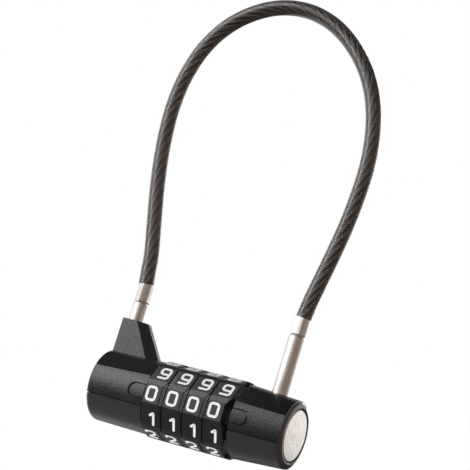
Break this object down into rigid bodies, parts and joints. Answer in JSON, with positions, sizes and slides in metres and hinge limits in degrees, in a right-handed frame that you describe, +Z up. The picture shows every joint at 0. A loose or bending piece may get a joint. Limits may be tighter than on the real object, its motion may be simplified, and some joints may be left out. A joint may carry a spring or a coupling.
{
  "type": "combination cable padlock",
  "caption": "Black combination lock with numbered dials, a push button in its end and a long flexible steel-cable shackle with nickel pins.",
  "frame": {"origin": "on the ground under the middle of the lock's body, which stands upright on its dials as in the picture", "axes": "+X runs along the body towards the push button, +Z up towards the top of the cable, +Y to the back, away from the row of digits that is read"},
  "size_m": [0.0708, 0.0218, 0.1352],
  "materials": {
    "satin_black": "satin black paint with fine metallic sparkle on die-cast zinc",
    "dial_black": "satin black paint with fine metallic sparkle",
    "cover_black": "smooth satin black, slightly brown",
    "gloss_black": "polished black",
    "nickel": "polished nickel plate, slightly warm",
    "button_nickel": "satin nickel plate, slightly warm",
    "steel": "plain machined steel",
    "jacket": "smoky clear vinyl over twisted steel strands",
    "digit_white": "white paint in the digits"
  },
  "bodies": {
    "lock_body": {"left_housing": "satin_black", "left_lower_cover": "cover_black", "right_housing": "satin_black", "right_lower_cover": "cover_black", "end_ring": "gloss_black", "core_tube": "steel", "detent_spring": "steel", "dial_spacers": "steel", "return_spring": "steel", "left_pin": "nickel", "left_crimp": "nickel", "retaining_pin": "steel", "cable": "jacket"},
    "dial_1": {"dial_ring_1": "dial_black", "tumbler_1": "steel"},
    "dial_2": {"dial_ring_2": "dial_black", "tumbler_2": "steel"},
    "dial_3": {"dial_ring_3": "dial_black", "tumbler_3": "steel"},
    "dial_4": {"dial_ring_4": "dial_black", "tumbler_4": "steel"},
    "push_button": {"spindle": "steel", "latch_plate": "steel", "button": "button_nickel"},
    "release_pin": {"right_pin": "nickel", "right_crimp": "nickel"}
  },
  "joints": [
    {"name": "dial_1_turn", "type": "hinge", "parent": "lock_body", "child": "dial_1", "pos_m": [-0.0091, 0, 0.01115], "axis": [1, 0, 0], "continuous": true},
    {"name": "dial_2_turn", "type": "hinge", "parent": "lock_body", "child": "dial_2", "pos_m": [-0.0025, 0, 0.01115], "axis": [1, 0, 0], "continuous": true},
    {"name": "dial_3_turn", "type": "hinge", "parent": "lock_body", "child": "dial_3", "pos_m": [0.0041, 0, 0.01115], "axis": [1, 0, 0], "continuous": true},
    {"name": "dial_4_turn", "type": "hinge", "parent": "lock_body", "child": "dial_4", "pos_m": [0.0107, 0, 0.01115], "axis": [1, 0, 0], "continuous": true},
    {"name": "button_press", "type": "slide", "parent": "lock_body", "child": "push_button", "axis": [-1, 0, 0], "range_m": [0, 0.002], "stiffness_N_per_m": 600, "deforming": ["return_spring"]},
    {"name": "pin_release", "type": "slide", "parent": "lock_body", "child": "release_pin", "axis": [0, 0, 1], "range_m": [0, 0.022], "deforming": ["cable"]}
  ],
  "couplings": [
    {"joint": "pin_release", "follows": "button_press", "ratio": 11}
  ]
}
